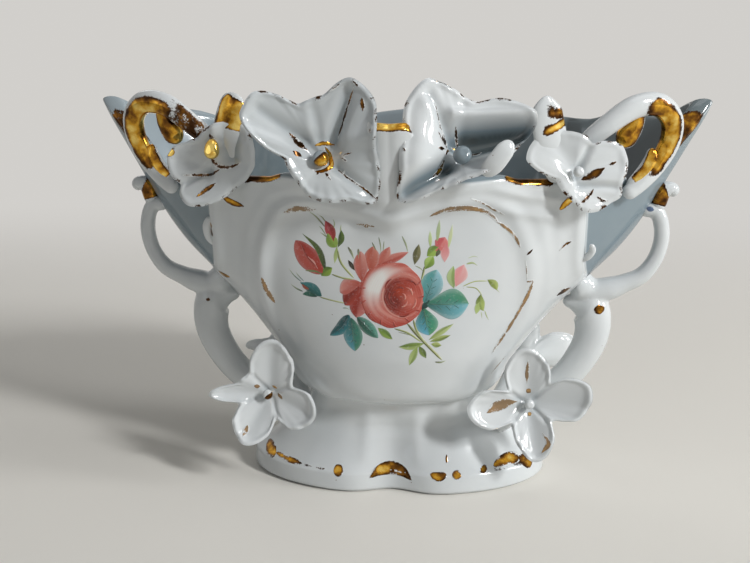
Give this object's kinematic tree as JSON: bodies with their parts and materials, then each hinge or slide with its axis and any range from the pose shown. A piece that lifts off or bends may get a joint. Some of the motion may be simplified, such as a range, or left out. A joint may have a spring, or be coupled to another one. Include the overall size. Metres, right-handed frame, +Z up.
{
  "type": "bridal vase",
  "caption": "Fan-shaped porcelain vase on a hollow foot, with scroll handles, openwork rim scrolls and applied flowers, for a wedding bouquet or the mantel.",
  "frame": {"origin": "under the middle of the whole vase, on the surface that it stands on", "axes": "+X to the right along the length of the fan, -Y to the painted front, +Z up"},
  "size_m": [0.269, 0.1272, 0.1804],
  "materials": {
    "porcelain": "white hard-paste porcelain under a clear gloss glaze, with a painted rose spray and worn gilt lines",
    "gilding": "porcelain under burnished gilding, bright on the heights and rubbed through in places"
  },
  "bodies": {
    "root": {"vase_body": "porcelain", "foot": "porcelain", "left_handle_lower_scroll": "porcelain", "left_handle_upper_scroll": "porcelain", "left_handle_curl": "gilding", "left_rim_leaf": "gilding", "left_rim_scroll": "porcelain", "right_handle_lower_scroll": "porcelain", "right_handle_upper_scroll": "porcelain", "right_handle_curl": "gilding", "right_rim_leaf": "gilding", "right_rim_scroll": "porcelain", "left_rim_flower": "porcelain", "left_rim_flower_pistil": "gilding", "right_rim_flower": "porcelain", "right_rim_flower_pistil": "gilding", "left_shoulder_flower": "porcelain", "left_shoulder_flower_pistil": "gilding", "right_shoulder_flower": "porcelain", "right_shoulder_flower_pistil": "gilding", "front_left_foot_flower": "porcelain", "front_left_foot_flower_pistil": "gilding", "front_right_foot_flower": "porcelain", "front_right_foot_flower_pistil": "gilding", "back_left_foot_flower": "porcelain", "back_left_foot_flower_pistil": "gilding", "back_right_foot_flower": "porcelain", "back_right_foot_flower_pistil": "gilding"}
  },
  "joints": []
}
